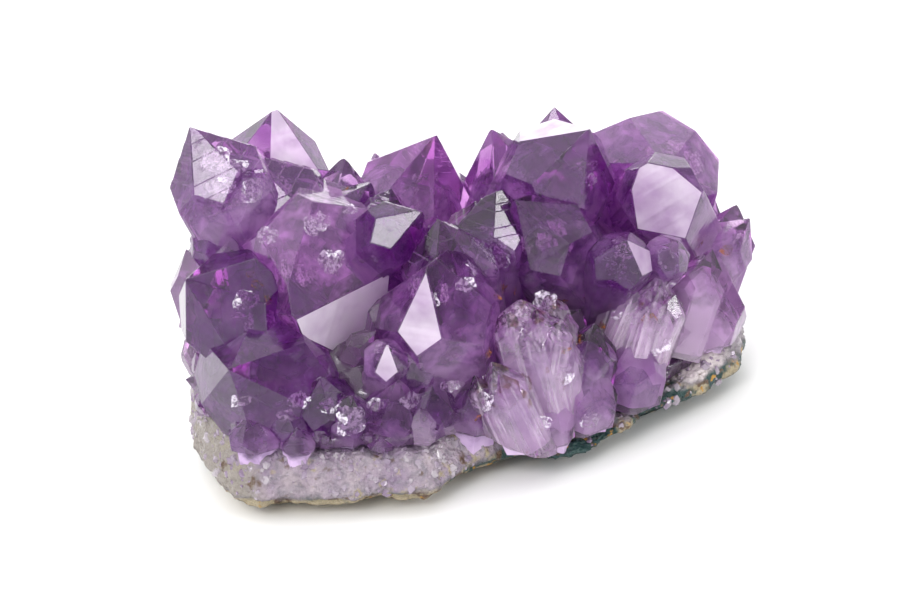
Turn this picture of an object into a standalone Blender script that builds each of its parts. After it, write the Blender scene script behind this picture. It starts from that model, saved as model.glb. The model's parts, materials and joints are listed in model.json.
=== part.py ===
"""Amethyst cluster: a hand-sized druse of quartz crystals grown together on a slab of pale matrix.

Units are metres, +Z is up, +X runs along the cluster and the crystals' show side faces -Y.
The crystals are one solid, because they grew into each other. The matrix under them is the other.
"""

import math
from dataclasses import dataclass

import bmesh
import bpy
from mathutils import Matrix, Vector, noise

MM = 0.001

# Quartz: a six-sided prism closed by six slanted faces. The pole of a slanted face stands this
# many degrees from the long axis.
SIDES = 6
POLE_ANGLE = 51.8

# Slab under the crystals, in millimetres
SLAB_SPINE = ((-34.0, 2.0), (38.0, 5.0))
SLAB_RIM = (
    (-50, 8), (-51, -8), (-47, -20), (-39, -23), (-28, -27), (-16, -30), (-9, -26), (2, -24),
    (10, -28), (20, -26), (30, -22), (41, -18), (50, -14), (56, -6), (58, 4), (55, 16),
    (46, 24), (30, 28), (12, 27), (-6, 30), (-24, 28), (-39, 29), (-47, 21),
)
# (x, height) of the slab's top and of its lower edge along the cluster
TOP_HEIGHT = ((-56, 16.0), (-32, 13.0), (-8, 11.0), (10, 6.0), (32, 7.0), (50, 11.0), (62, 12.0))
EDGE_HEIGHT = ((-56, 2.5), (-8, 2.0), (18, 3.0), (32, 4.5), (46, 3.0), (62, 5.0))
RIM_POINTS = 84
ROCK_ROUGHNESS = 0.8
ROCK_GRAIN = 9.0
# Rings of the slab from the middle of its flat foot, round its side, to the middle of its top. Each
# is a share of the way in from the rim to the spine, and a ring of the side also has its share of
# the height between the lower edge and the top.
FOOT_RINGS = (0.85, 0.55, 0.24)
SIDE_RINGS = ((-0.05, 0.0), (-0.10, 0.25), (-0.07, 0.60), (0.0, 0.90))
TOP_RINGS = (0.07, 0.25, 0.55, 0.85)
TOP_RELIEF = 1.5
TOP_SEED = 3.1
SIDE_SEED = 7.0

# The crystals stay this far off the slab, so that the two solids never touch. The shape that cuts
# them there reaches this share of the rim's distance past the rim, and this far down.
SEAT_GAP = 0.3
SEAT_REACH = -0.9
SEAT_DEPTH = -20.0

# Crust that the crystals stand in: (share of the way in to the spine, height over the slab's top)
CRUST_RINGS = ((0.08, -3.0), (0.05, 3.0), (0.12, 9.0), (0.30, 16.0), (0.55, 21.0), (0.85, 23.0))
CRUST_ROUGHNESS = 1.2
CRUST_SEED = 11.0


@dataclass(frozen=True)
class Crystal:
    """One quartz crystal, in millimetres and degrees.

    tip is the point where its six slanted faces would meet. lean is the angle between its long
    axis and straight up, and bearing the direction that it leans in, counted from +X towards +Y.
    turn is its twist about the long axis and half is half its width across two opposite sides.
    cuts moves single slanted faces in (or out), which is what makes a real tip uneven.
    """

    tip: tuple
    lean: float
    bearing: float
    turn: float
    half: float
    long: float = 45.0
    cuts: tuple = (0, 0, 0, 0, 0, 0)


# Tall crystals along the crest, left to right
CREST = (
    Crystal((-43.5, 10.5, 67.5), 20, 181, 19, 9.0),
    Crystal((-33.5, 10, 60.5), 22, 190, 9, 9.0),
    Crystal((-25, 19, 65), 16, 291, 295, 9.5, 34, cuts=(0, 1, 0, 0, 0.5, 0)),
    Crystal((-13.5, 16, 53.5), 13, 9, 24, 5.0),
    Crystal((4, 12.5, 55.5), 28, 305, 57, 10.5, 30),
    Crystal((16.5, 17, 53), 10, 185, 23, 8.0),
    Crystal((30.5, 19.5, 53.5), 6, 249, 53, 9.0),
    Crystal((28, -9, 58.5), 41, 292, 190, 10.0, 42),
    Crystal((44, -5.5, 46.5), 60, 262, 40, 13.0, 30),
    Crystal((62, -3, 31.5), 44, 353, 6, 5.5, 26),
    Crystal((61.5, 2.5, 32.5), 26, 8, 52, 6.0, 30),
)

# Crystals of the middle, between the crest and the front
MIDDLE = (
    Crystal((-46, 8.5, 49), 31, 159, 28, 3.5, 26),
    Crystal((-40, 0.5, 48.5), 5, 344, 28, 3.5, 30),
    Crystal((-10, -2.5, 54), 18, 322, 331, 11.0, cuts=(0, 0, 0, 1, 0, 0)),
    Crystal((-6, -11, 50), 52, 311, 20, 6.0, 24),
    Crystal((-11, 5.5, 51.5), 36, 337, 1, 6.0, 34),
    Crystal((-4, -13, 49), 17, 241, 23, 8.5),
    Crystal((9.5, -7, 51.5), 13, 314, 270, 7.5, cuts=(0, 0, 0, 0, 1.5, 0)),
    Crystal((11, -11, 48.5), 37, 213, 48, 9.0, 38),
    Crystal((36.5, -14, 51), 41, 232, 37, 7.5, 34, cuts=(3, 0, 0, 0, 0, 0)),
    Crystal((28, -25, 42), 40, 268, 58, 5.5, 30),
    Crystal((39, -23, 38.5), 44, 285, 30, 4.0, 26),
)

# The big crystals of the front, which point out at the viewer
FRONT = (
    Crystal((-31.7, -21.3, 39.2), 83, 252, 67, 14.9, 36, cuts=(2, 3.2, -1.1, -1.7, -1.9, -1.8)),
    Crystal((-9.6, -24.3, 46.7), 25, 249, 43, 10.5, 36, cuts=(-0.2, -0.5, -2.1, 1, -0.3, -1.3)),
    Crystal((-49, -26, 34), 61, 237, 31, 11.5, 30),
    Crystal((-52, -13.5, 47.5), 47, 216, 5, 10.0, 32),
    Crystal((-19.5, -26, 32.5), 36, 265, 48, 4.0, 22),
    Crystal((-13.5, -25.5, 31.5), 37, 270, 9, 5.0, 22),
    Crystal((6, -22.5, 41), 8, 180, 30, 8.5, 34, cuts=(0, 0, 0, 2, 3, 0)),
    Crystal((-2, -28, 28), 18, 171, 18, 5.5, 22),
    Crystal((14, -24.5, 34), 16, 343, 20, 6.5, 28),
    Crystal((37.5, -20, 35), 20, 342, 0, 7.0, 28),
    Crystal((49.5, -13, 31.5), 24, 3, 53, 5.0, 22),
    Crystal((53, -7.5, 27), 20, 5, 46, 7.5, 22),
)

# The low crystals along the foot of the front
FOOT = (
    Crystal((-45.5, -22, 23.5), 21, 251, 8, 4.5, 14),
    Crystal((-39.5, -23, 24.5), 29, 251, 55, 4.0, 14),
    Crystal((-32, -24, 28), 29, 262, 36, 5.5, 18),
    Crystal((-27, -26, 24), 27, 276, 54, 4.0, 16),
    Crystal((-18, -26, 25), 24, 281, 38, 6.0, 18),
    Crystal((-10, -25, 24), 20, 311, 18, 5.0, 18),
    Crystal((-3, -25, 23), 11, 305, 12, 5.0, 18),
    Crystal((-37.5, -25, 19.5), 22, 274, 13, 3.0, 10),
    Crystal((-23, -28, 15.5), 22, 274, 13, 3.0, 8),
    Crystal((21, -24, 27), 15, 318, 9, 5.0, 20),
    Crystal((20, -26, 19.5), 14, 343, 24, 5.0, 14),
    Crystal((10.5, -27, 17), 5, 344, 5, 4.0, 14),
    Crystal((31.5, -21, 22.5), 17, 352, 23, 6.0, 16),
)

# The back, which the crest hides from the front
BACK = (
    Crystal((-40.5, 24, 46), 22, 116, 12, 7.5, 38),
    Crystal((-37, 27, 50), 32, 103, 40, 9.0, 40),
    Crystal((-20, 29, 46), 36, 84, 22, 8.0, 38),
    Crystal((-5, 27, 49), 26, 97, 50, 9.5, 42),
    Crystal((10, 29, 43), 38, 88, 8, 7.0, 34),
    Crystal((22, 29, 47), 33, 74, 33, 9.0, 40),
    Crystal((38, 27, 44), 35, 80, 15, 8.5, 36),
    Crystal((51, 22, 41), 32, 48, 44, 9.0, 38),
    Crystal((59, 12, 36), 36, 22, 28, 6.5, 32),
    Crystal((-47, 14, 34), 36, 150, 51, 6.0, 26),
    Crystal((-43, 28, 30), 46, 118, 4, 6.5, 24),
    Crystal((-28, 30, 30), 52, 96, 47, 5.5, 22),
    Crystal((-12, 31, 31), 50, 78, 18, 6.5, 24),
    Crystal((3, 31, 26), 54, 101, 39, 5.5, 20),
    Crystal((17, 30, 28), 50, 83, 56, 6.0, 22),
    Crystal((31, 30, 27), 52, 92, 10, 5.5, 20),
    Crystal((46, 27, 27), 50, 60, 35, 6.0, 22),
)

# Finishes: linear base colours, roughness, and how clear the crystals are
AMETHYST_COLOUR = (0.42, 0.22, 0.66)
AMETHYST_GLOSS = 0.08
CLARITY = 0.8
MATRIX_COLOUR = (0.72, 0.68, 0.70)
MATRIX_GLOSS = 0.55

# Points closer than this are one point, and faces flatter to each other than this are one face
MERGE = 0.02 * MM
FLAT_ANGLE = math.radians(0.2)

# Small crystals round the crust, in rows: (how many, first and last share of the way round, share
# of the way in, height over the slab's top, half width, how far each stands out). The last two
# rows are on the back alone.
SMALL_ROWS = (
    (34, 0.0, 1.0, 0.10, 2.5, 1.9, 4.5),
    (26, 0.0, 1.0, 0.15, 7.5, 2.6, 5.5),
    (11, 0.64, 1.0, 0.16, 12.0, 4.2, 8.0),
    (9, 0.66, 0.98, 0.22, 20.0, 5.2, 9.0),
)
# How far a small crystal strays: share of its place in the row, size from and to, lean from and
# to, spread of its bearing, and how deep its root goes into the crust
SMALL_SHIFT = 0.35
SMALL_SIZE = (0.75, 1.35)
SMALL_LEAN = (35.0, 70.0)
SMALL_SPREAD = 50.0
SMALL_ROOT = 5.0


def smooth_between(stations, x):
    """Height at x on the smooth line through (x, height) stations."""
    if x <= stations[0][0]:
        return stations[0][1]
    for (x0, z0), (x1, z1) in zip(stations, stations[1:]):
        if x <= x1:
            share = (x - x0) / (x1 - x0)
            share = share * share * (3 - 2 * share)
            return z0 + (z1 - z0) * share
    return stations[-1][1]


def between(span, share):
    """The value at a share of the way from the first of a pair to the second."""
    return span[0] + (span[1] - span[0]) * share


def direction(lean, bearing):
    """The unit vector of a long axis that leans so many degrees from straight up."""
    upright = Vector((0, 0, 1))
    upright.rotate(Matrix.Rotation(math.radians(lean), 3, "Y"))
    upright.rotate(Matrix.Rotation(math.radians(bearing), 3, "Z"))
    return upright


def relief(x, y, grain, seed):
    """Rock relief at a point of the plan, from -1 to 1."""
    return noise.noise(Vector((x / grain, y / grain, seed)))


def slab_top(x, y):
    """Height of the slab's top at a point of the plan, in millimetres."""
    return smooth_between(TOP_HEIGHT, x) + TOP_RELIEF * relief(x, y, ROCK_GRAIN, TOP_SEED)


def spine_point(x):
    """Point of the spine abreast of x."""
    (x0, y0), (x1, y1) = SLAB_SPINE
    share = min(max((x - x0) / (x1 - x0), 0.0), 1.0)
    return x0 + (x1 - x0) * share, y0 + (y1 - y0) * share


def rim_point(share):
    """Point of the slab's rim at a share of the way round, on a smooth closed curve."""
    count = len(SLAB_RIM)
    place = (share % 1.0) * count
    index = int(place)
    t = place - index
    before, start, end, after = (Vector(SLAB_RIM[(index + k) % count]) for k in (-1, 0, 1, 2))
    curve = start * 2 + (end - before) * t
    curve += (before * 2 - start * 5 + end * 4 - after) * t**2
    curve += (start * 3 - before - end * 3 + after) * t**3
    return curve / 2


def inward(point, share):
    """A point of the plan moved a share of the way to the spine."""
    spine = Vector(spine_point(point.x))
    return point.lerp(spine, share)


def ring(share_in, height, roughness=0.0, seed=0.0):
    """A closed row of points round the slab, with height given by a function of the plan."""
    points = []
    for number in range(RIM_POINTS):
        flat = inward(rim_point(number / RIM_POINTS), share_in)
        z = height(flat.x, flat.y)
        push = roughness * relief(flat.x + 2 * z, flat.y - 2 * z, ROCK_GRAIN, seed)
        flat = flat + (flat - Vector(spine_point(flat.x))).normalized() * push
        points.append(Vector((flat.x, flat.y, z)) * MM)
    return points


def closed_solid(rings):
    """A closed mesh through rings of points, lowest first, with both ends capped."""
    mesh = bmesh.new()
    rows = [[mesh.verts.new(point) for point in points] for points in rings]
    for lower, upper in zip(rows, rows[1:]):
        for number in range(len(lower)):
            after = (number + 1) % len(lower)
            mesh.faces.new((lower[number], lower[after], upper[after], upper[number]))
    mesh.faces.new(reversed(rows[0]))
    mesh.faces.new(rows[-1])
    bmesh.ops.triangulate(mesh, faces=[face for face in mesh.faces if len(face.verts) > 3])
    bmesh.ops.recalc_face_normals(mesh, faces=mesh.faces)
    return mesh


def make_object(name, mesh, collection):
    """An object in a collection, from a bmesh that is used up."""
    data = bpy.data.meshes.new(name)
    mesh.to_mesh(data)
    mesh.free()
    made = bpy.data.objects.new(name, data)
    collection.objects.link(made)
    return made


def make_helper(name, mesh, collection):
    """A shape that only cuts or joins another one."""
    made = make_object(name, mesh, collection)
    made.hide_render = True
    made.display_type = "WIRE"
    return made


def material(name, colour, roughness, transmission=0.0):
    """A plain Principled material."""
    made = bpy.data.materials.new(name)
    made.use_nodes = True
    shader = made.node_tree.nodes["Principled BSDF"]
    shader.inputs["Base Color"].default_value = (*colour, 1.0)
    shader.inputs["Roughness"].default_value = roughness
    shader.inputs["Metallic"].default_value = 0.0
    shader.inputs["Transmission Weight"].default_value = transmission
    return made


def crystal_mesh(crystal):
    """A crystal: a six-sided prism with its slanted faces cut, tip up at the origin, then placed."""
    mesh = bmesh.new()
    corner = crystal.half / math.cos(math.pi / SIDES)
    sink = Matrix.Translation((0, 0, -crystal.long / 2))
    bmesh.ops.create_cone(
        mesh,
        cap_ends=True,
        segments=SIDES,
        radius1=corner,
        radius2=corner,
        depth=crystal.long,
        matrix=sink @ Matrix.Rotation(math.pi / SIDES, 4, "Z"),
    )
    for number in range(SIDES):
        pole = direction(POLE_ANGLE, number * 360 / SIDES)
        bmesh.ops.bisect_plane(
            mesh,
            geom=mesh.verts[:] + mesh.edges[:] + mesh.faces[:],
            dist=1e-5,
            plane_co=pole * -crystal.cuts[number],
            plane_no=pole,
            clear_outer=True,
        )
        bmesh.ops.holes_fill(mesh, edges=mesh.edges[:], sides=0)
    place = (
        Matrix.Translation(Vector(crystal.tip) * MM)
        @ Matrix.Rotation(math.radians(crystal.bearing), 4, "Z")
        @ Matrix.Rotation(math.radians(crystal.lean), 4, "Y")
        @ Matrix.Rotation(math.radians(crystal.turn), 4, "Z")
        @ Matrix.Scale(MM, 4)
    )
    bmesh.ops.transform(mesh, matrix=place, verts=mesh.verts)
    bmesh.ops.recalc_face_normals(mesh, faces=mesh.faces)
    return mesh


def small_crystals():
    """The small crystals that fill the foot of the crust all round, each with its own scatter."""
    made = []
    for row, (count, first, last, share_in, height, half, stand) in enumerate(SMALL_ROWS):
        for number in range(count):
            chance = [noise.cell(Vector((number, row, channel))) for channel in range(5)]
            place = number + row / 2 + between((-SMALL_SHIFT, SMALL_SHIFT), chance[0])
            foot = inward(rim_point(between((first, last), place / count)), share_in)
            out = foot - Vector(spine_point(foot.x))
            size = between(SMALL_SIZE, chance[1])
            lean = between(SMALL_LEAN, chance[2])
            bearing = math.degrees(math.atan2(out.y, out.x)) + SMALL_SPREAD * (chance[3] - 0.5)
            base = Vector((foot.x, foot.y, slab_top(foot.x, foot.y) + height))
            tip = base + direction(lean, bearing) * stand * size
            turn = chance[4] * 360 / SIDES
            made.append(Crystal(tip, lean, bearing, turn, half * size, stand * size + SMALL_ROOT))
    return made


def build_matrix(collection):
    """The slab: a flat foot, a rough lower edge that rises off the ground, and a bumpy top."""

    def side(share_up):
        def height(x, y):
            low = smooth_between(EDGE_HEIGHT, x)
            return low + (slab_top(x, y) - low) * share_up

        return height

    rings = [ring(share_in, lambda x, y: 0.0) for share_in in FOOT_RINGS]
    rings += [
        ring(share_in, side(share_up), ROCK_ROUGHNESS, SIDE_SEED + share_up)
        for share_in, share_up in SIDE_RINGS
    ]
    rings += [ring(share_in, slab_top) for share_in in TOP_RINGS]
    slab = make_object("matrix", closed_solid(rings), collection)
    slab.data.materials.append(material("pale_matrix", MATRIX_COLOUR, MATRIX_GLOSS))
    return slab


def build_seat(collection):
    """Everything under the crystals: the slab's top, raised by the gap and carried outwards."""

    def seat(x, y):
        return slab_top(x, y) + SEAT_GAP

    rings = [ring(SEAT_REACH, lambda x, y: SEAT_DEPTH)]
    rings += [ring(share_in, seat) for share_in in (SEAT_REACH, SEAT_REACH / 3, *TOP_RINGS)]
    return make_helper("seat_cutter", closed_solid(rings), collection)


def build_crust():
    """The mass that the crystals grew out of, as one rough mound."""

    def over(rise):
        return lambda x, y: slab_top(x, y) + rise

    rings = [
        ring(share_in, over(rise), CRUST_ROUGHNESS, CRUST_SEED + rise)
        for share_in, rise in CRUST_RINGS
    ]
    return closed_solid(rings)


def add_boolean(target, name, operation, operand):
    """A Boolean on target, with an object or a whole collection as its other side."""
    modifier = target.modifiers.new(name, "BOOLEAN")
    modifier.operation = operation
    modifier.solver = "EXACT"
    if isinstance(operand, bpy.types.Collection):
        modifier.operand_type = "COLLECTION"
        modifier.collection = operand
    else:
        modifier.object = operand


def outer_shell(mesh):
    """Drops every loose shell of a mesh but the largest: the rest are sealed gaps between crystals."""
    shells = []
    seen = set()
    for start in mesh.verts:
        if start in seen:
            continue
        seen.add(start)
        shell = [start]
        for vert in shell:
            for edge in vert.link_edges:
                other = edge.other_vert(vert)
                if other not in seen:
                    seen.add(other)
                    shell.append(other)
        shells.append(shell)
    shells.sort(key=len)
    for shell in shells[:-1]:
        bmesh.ops.delete(mesh, geom=shell, context="VERTS")


def apply_growth(cluster):
    """Turns the Booleans into plain faces, with flat stretches merged and sealed gaps filled."""
    graph = bpy.context.evaluated_depsgraph_get()
    mesh = bmesh.new()
    mesh.from_mesh(cluster.evaluated_get(graph).to_mesh())
    cluster.modifiers.clear()
    outer_shell(mesh)
    bmesh.ops.dissolve_degenerate(mesh, dist=MERGE, edges=mesh.edges[:])
    bmesh.ops.dissolve_limit(
        mesh, angle_limit=FLAT_ANGLE, verts=mesh.verts[:], edges=mesh.edges[:]
    )
    bmesh.ops.triangulate(mesh, faces=mesh.faces[:])
    mesh.to_mesh(cluster.data)
    mesh.free()


def build_crystals(collection, helpers):
    """All crystals and the crust as one solid, cut to sit on the slab."""
    growth = bpy.data.collections.new("growth")
    helpers.children.link(growth)
    everything = [*CREST, *MIDDLE, *FRONT, *FOOT, *BACK, *small_crystals()]
    for number, crystal in enumerate(everything):
        make_helper(f"growth_{number:03d}", crystal_mesh(crystal), growth)
    cluster = make_object("amethyst_crystals", build_crust(), collection)
    add_boolean(cluster, "grow_together", "UNION", growth)
    add_boolean(cluster, "seat_on_matrix", "DIFFERENCE", build_seat(helpers))
    apply_growth(cluster)
    cluster.data.materials.append(material("amethyst", AMETHYST_COLOUR, AMETHYST_GLOSS, CLARITY))
    return cluster


def centre_on_origin(pieces):
    """Slides all pieces level so that the middle of their box stands over the origin."""
    corners = [vertex.co for piece in pieces for vertex in piece.data.vertices]
    middle = [(min(c[axis] for c in corners) + max(c[axis] for c in corners)) / 2 for axis in (0, 1)]
    for piece in pieces:
        piece.data.transform(Matrix.Translation((-middle[0], -middle[1], 0.0)))


def main():
    for old in list(bpy.data.objects):
        bpy.data.objects.remove(old, do_unlink=True)
    scene = bpy.context.scene.collection
    helpers = bpy.data.collections.new("helpers")
    scene.children.link(helpers)
    slab = build_matrix(scene)
    cluster = build_crystals(scene, helpers)
    centre_on_origin((slab, cluster))


main()
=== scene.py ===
"""Looks of an amethyst cluster: violet quartz crystals grown together on a slab of pale matrix.

The growth plan below (crystals, slab and crust) follows that of the part itself, in millimetres.
The crystals are grown again here with worn edges, growth steps and broken columns, and the slab
gets its rough rock. Everything is in the row frame, in metres.
"""

import json
import logging
import math
from dataclasses import dataclass, replace
from enum import Enum

import bmesh
import bpy
import numpy as np
from mathutils import Matrix, Vector, noise
from mathutils.bvhtree import BVHTree

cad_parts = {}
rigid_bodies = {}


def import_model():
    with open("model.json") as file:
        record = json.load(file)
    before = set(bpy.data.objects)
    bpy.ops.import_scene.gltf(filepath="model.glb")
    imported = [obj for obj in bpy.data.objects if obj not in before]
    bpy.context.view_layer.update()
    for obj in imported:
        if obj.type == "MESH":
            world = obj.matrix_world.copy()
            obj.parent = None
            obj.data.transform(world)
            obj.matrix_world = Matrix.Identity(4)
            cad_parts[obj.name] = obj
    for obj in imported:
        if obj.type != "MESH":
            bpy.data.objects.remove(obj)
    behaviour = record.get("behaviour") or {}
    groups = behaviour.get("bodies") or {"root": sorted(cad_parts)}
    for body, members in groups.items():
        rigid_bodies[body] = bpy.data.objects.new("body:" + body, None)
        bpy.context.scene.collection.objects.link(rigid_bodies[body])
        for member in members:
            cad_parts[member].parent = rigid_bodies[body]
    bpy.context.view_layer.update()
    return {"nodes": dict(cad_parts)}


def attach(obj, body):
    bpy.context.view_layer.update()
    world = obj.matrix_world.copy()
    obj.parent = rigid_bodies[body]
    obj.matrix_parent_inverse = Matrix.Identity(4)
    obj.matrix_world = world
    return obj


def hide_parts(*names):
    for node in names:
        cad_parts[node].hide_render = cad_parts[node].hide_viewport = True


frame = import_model()

MM = 0.001
PHOTO_SIZE = (900, 601)
SENSOR_WIDTH = 36.0
LOG = logging.getLogger("amethyst")

# Quartz: a six-sided prism closed by six slanted faces, whose poles stand this many degrees from
# the long axis.
SIDES = 6
POLE_ANGLE = 51.8


class Habit(Enum):
    """How a crystal looks from close by."""

    CLEAR = "clear"
    PLATED = "plated"
    BROKEN = "broken"
    SMALL = "small"


@dataclass(frozen=True)
class Crystal:
    """One quartz crystal of the growth plan, in millimetres and degrees.

    Args:
        tip: point where the six slanted faces would meet.
        lean: angle between the long axis and straight up.
        bearing: direction of the lean, from +X towards +Y.
        turn: twist about the long axis.
        half: half the width across two opposite sides.
        long: length from the tip to the root.
        cuts: how far each slanted face is moved in.
        habit: how it looks from close by.
        tone: from 0, deep violet, to 1, pale.
        frost_and_reflection: numbers of the slanted faces that are satin instead of clear, and are also
            painted pale as a reflection of the light.
        blunt: how far down the tip is cut off square, for a growth step.
    """

    tip: tuple[float, float, float]
    lean: float
    bearing: float
    turn: float
    half: float
    long: float = 45.0
    cuts: tuple[float, ...] = (0, 0, 0, 0, 0, 0)
    habit: Habit = Habit.CLEAR
    tone: float = 0.5
    frost_and_reflection: tuple[int, ...] = ()
    blunt: float = 0.0

    def placement(self) -> Matrix:
        """The matrix that carries the crystal, tip up at the origin in mm, to its place in mm."""
        return (
            Matrix.Translation(Vector(self.tip))
            @ Matrix.Rotation(math.radians(self.bearing), 4, "Z")
            @ Matrix.Rotation(math.radians(self.lean), 4, "Y")
            @ Matrix.Rotation(math.radians(self.turn), 4, "Z")
        )

    def holds(self, local: Vector) -> bool:
        """Tells what lies inside the crystal.

        Args:
            local: a point in the crystal's own millimetres.

        Returns:
            Whether the point is inside.
        """
        if local.z < -self.long:
            return False
        for number in range(SIDES):
            bearing = number * 360 / SIDES
            if direction(90.0, bearing).dot(local) > self.half:
                return False
            if direction(POLE_ANGLE, bearing).dot(local) > -self.cuts[number]:
                return False
        return True


PLATED = Habit.PLATED
BROKEN = Habit.BROKEN

# Tall crystals along the crest, left to right
CREST = (
    Crystal((-43.5, 10.5, 67.5), 20, 181, 19, 9.0, habit=PLATED, tone=0.52),
    Crystal((-33.5, 10, 60.5), 22, 190, 9, 9.0, habit=PLATED, tone=0.40),
    Crystal((-25, 19, 65), 16, 291, 295, 9.5, 34, (0, 1, 0, 0, 0.5, 0), tone=0.34, frost_and_reflection=(1,)),
    Crystal((-13.5, 16, 53.5), 13, 9, 24, 5.0, tone=0.40),
    Crystal((4, 12.5, 55.5), 28, 305, 57, 10.5, 30, tone=0.78),
    Crystal((16.5, 17, 53), 10, 185, 23, 8.0, tone=0.50),
    Crystal((30.5, 19.5, 53.5), 6, 249, 53, 9.0, tone=0.55),
    Crystal((28, -9, 58.5), 41, 292, 190, 10.0, 42, tone=0.40, frost_and_reflection=(0,)),
    Crystal((44, -5.5, 46.5), 60, 262, 40, 13.0, 30, tone=0.62),
    Crystal((62, -3, 31.5), 44, 353, 6, 5.5, 26, tone=0.85),
    Crystal((61.5, 2.5, 32.5), 26, 8, 52, 6.0, 30, tone=0.70),
)

# Crystals of the middle, between the crest and the front
MIDDLE = (
    Crystal((-46, 8.5, 49), 31, 159, 28, 3.5, 26, tone=0.15),
    Crystal((-40, 0.5, 48.5), 5, 344, 28, 3.5, 30, tone=0.20),
    Crystal((-8.9, 1.5, 52.2), 18, 322, 331, 11.0, cuts=(0, 0, 0, 1, 0, 0), habit=PLATED, tone=0.05),
    Crystal((-6, -11, 50), 52, 311, 20, 6.0, 24, tone=0.15),
    Crystal((-11, 5.5, 51.5), 36, 337, 1, 6.0, 34, tone=0.15),
    Crystal((-4, -13, 49), 17, 241, 23, 8.5, habit=PLATED, tone=0.50),
    Crystal((9.5, -7, 51.5), 13, 314, 270, 7.5, cuts=(0, 0, 0, 0, 1.5, 0), habit=PLATED, tone=0.25),
    Crystal((11, -11, 48.5), 37, 213, 48, 9.0, 38, tone=0.45),
    Crystal((36.5, -14, 51), 41, 232, 37, 7.5, 34, (3, 0, 0, 0, 0, 0), tone=0.40, frost_and_reflection=(0,)),
    Crystal((28, -25, 42), 40, 268, 58, 5.5, 30, tone=0.20, frost_and_reflection=(0,)),
    Crystal((39, -23, 38.5), 44, 285, 30, 4.0, 26, tone=0.50),
)

# The big crystals of the front, which point out at the viewer
FRONT = (
    Crystal(
        (-31.7, -21.3, 39.2), 83, 252, 67, 14.9, 36, (2, 3.2, -1.1, -1.7, -1.9, -1.8), tone=1.00, frost_and_reflection=(0,)
    ),
    Crystal(
        (-9.6, -24.3, 46.7), 25, 249, 43, 10.5, 36, (-0.2, -0.5, -2.1, 1, -0.3, -1.3), tone=0.62, frost_and_reflection=(5,)
    ),
    Crystal((-49, -26, 34), 61, 237, 31, 11.5, 30, tone=0.36),
    Crystal((-52, -13.5, 47.5), 47, 216, 5, 10.0, 32, tone=0.05),
    Crystal((-19.5, -26, 32.5), 36, 265, 48, 4.0, 22, tone=0.60, frost_and_reflection=(5,)),
    Crystal((-13.5, -25.5, 31.5), 37, 270, 9, 5.0, 22, tone=0.50),
    Crystal((6, -22.5, 41), 8, 180, 30, 8.5, 34, (0, 0, 0, 2, 3, 0), BROKEN, tone=0.78),
    Crystal((-2, -28, 28), 18, 171, 18, 5.5, 22, habit=BROKEN, tone=0.65),
    Crystal((14, -24.5, 34), 16, 343, 20, 6.5, 28, habit=BROKEN, tone=0.80),
    Crystal((37.5, -20, 35), 20, 342, 0, 7.0, 28, habit=BROKEN, tone=1.00),
    Crystal((49.5, -13, 31.5), 24, 3, 53, 5.0, 22, tone=0.95),
    Crystal((53, -7.5, 27), 20, 5, 46, 7.5, 22, tone=1.00),
)

# The low crystals along the foot of the front
FOOT = (
    Crystal((-45.5, -22, 23.5), 21, 251, 8, 4.5, 14, tone=0.60),
    Crystal((-39.5, -23, 24.5), 29, 251, 55, 4.0, 14, tone=0.40),
    Crystal((-32, -24, 28), 29, 262, 36, 5.5, 18, tone=0.15),
    Crystal((-27, -26, 24), 27, 276, 54, 4.0, 16, tone=0.50),
    Crystal((-18, -26, 25), 24, 281, 38, 6.0, 18, tone=0.60),
    Crystal((-10, -25, 24), 20, 311, 18, 5.0, 18, tone=0.40),
    Crystal((-3, -25, 23), 11, 305, 12, 5.0, 18, tone=0.55),
    Crystal((-37.5, -25, 19.5), 22, 274, 13, 3.0, 10, tone=0.70),
    Crystal((-23, -28, 15.5), 22, 274, 13, 3.0, 8, tone=0.80),
    Crystal((21, -24, 27), 15, 318, 9, 5.0, 20, tone=0.60),
    Crystal((20, -26, 19.5), 14, 343, 24, 5.0, 14, tone=0.75),
    Crystal((10.5, -27, 17), 5, 344, 5, 4.0, 14, tone=0.85),
    Crystal((31.5, -21, 22.5), 17, 352, 23, 6.0, 16, tone=0.50),
)

# The back, which the crest hides from the front
BACK = (
    Crystal((-40.5, 24, 46), 22, 116, 12, 7.5, 38, tone=0.40),
    Crystal((-37, 27, 50), 32, 103, 40, 9.0, 40, habit=PLATED, tone=0.55),
    Crystal((-20, 29, 46), 36, 84, 22, 8.0, 38, tone=0.30),
    Crystal((-5, 27, 49), 26, 97, 50, 9.5, 42, habit=PLATED, tone=0.60),
    Crystal((10, 29, 43), 38, 88, 8, 7.0, 34, tone=0.45),
    Crystal((22, 29, 47), 33, 74, 33, 9.0, 40, tone=0.50),
    Crystal((38, 27, 44), 35, 80, 15, 8.5, 36, habit=PLATED, tone=0.35),
    Crystal((51, 22, 41), 32, 48, 44, 9.0, 38, tone=0.60),
    Crystal((59, 12, 36), 36, 22, 28, 6.5, 32, tone=0.40),
    Crystal((-47, 14, 34), 36, 150, 51, 6.0, 26, tone=0.50),
    Crystal((-43, 28, 30), 46, 118, 4, 6.5, 24, tone=0.60),
    Crystal((-28, 30, 30), 52, 96, 47, 5.5, 22, tone=0.70),
    Crystal((-12, 31, 31), 50, 78, 18, 6.5, 24, tone=0.40),
    Crystal((3, 31, 26), 54, 101, 39, 5.5, 20, tone=0.75),
    Crystal((17, 30, 28), 50, 83, 56, 6.0, 22, tone=0.50),
    Crystal((31, 30, 27), 52, 92, 10, 5.5, 20, tone=0.65),
    Crystal((46, 27, 27), 50, 60, 35, 6.0, 22, tone=0.45),
)

PLAN = (*CREST, *MIDDLE, *FRONT, *FOOT, *BACK)


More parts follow.
